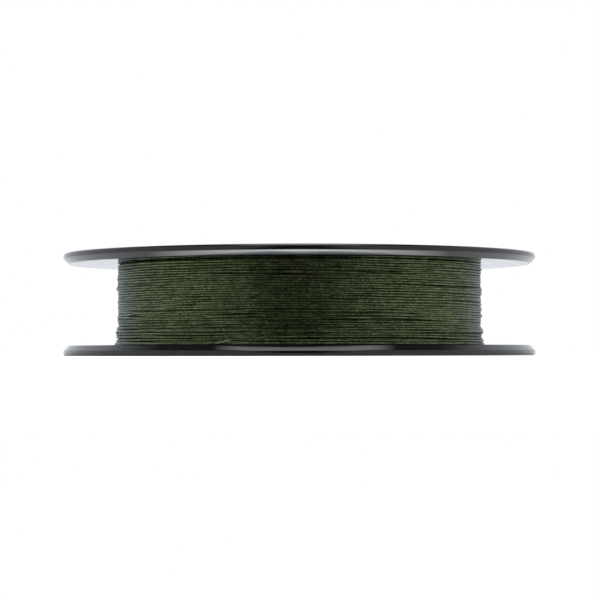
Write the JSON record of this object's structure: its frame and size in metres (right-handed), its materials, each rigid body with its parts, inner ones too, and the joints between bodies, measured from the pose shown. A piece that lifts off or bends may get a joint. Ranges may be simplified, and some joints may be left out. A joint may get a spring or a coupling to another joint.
{
  "type": "fishing line spool",
  "caption": "Low round spool of braided fishing line: two thin bevelled flanges snapped to a core drum, with a bore and drive slots for a spindle.",
  "frame": {"origin": "centre of the rear flange's outer face, on the surface that the spool stands on", "axes": "+Z along the spool's axis, from the rear flange to the front flange; the line notch in the front flange is towards +Y"},
  "size_m": [0.095, 0.095, 0.0204],
  "materials": {
    "gloss_black": "gloss",
    "hub_black": "satin",
    "tape": "matte",
    "braid": "satin",
    "front_film": "satin",
    "rear_film": "matte"
  },
  "bodies": {
    "root": {"front_flange": "gloss_black", "rear_flange": "gloss_black", "core_drum": "hub_black", "arbor_tape": "tape", "line_winding": "braid", "line_last_turns": "braid", "line_end": "braid", "front_label": "front_film", "rear_label": "rear_film"}
  },
  "joints": []
}
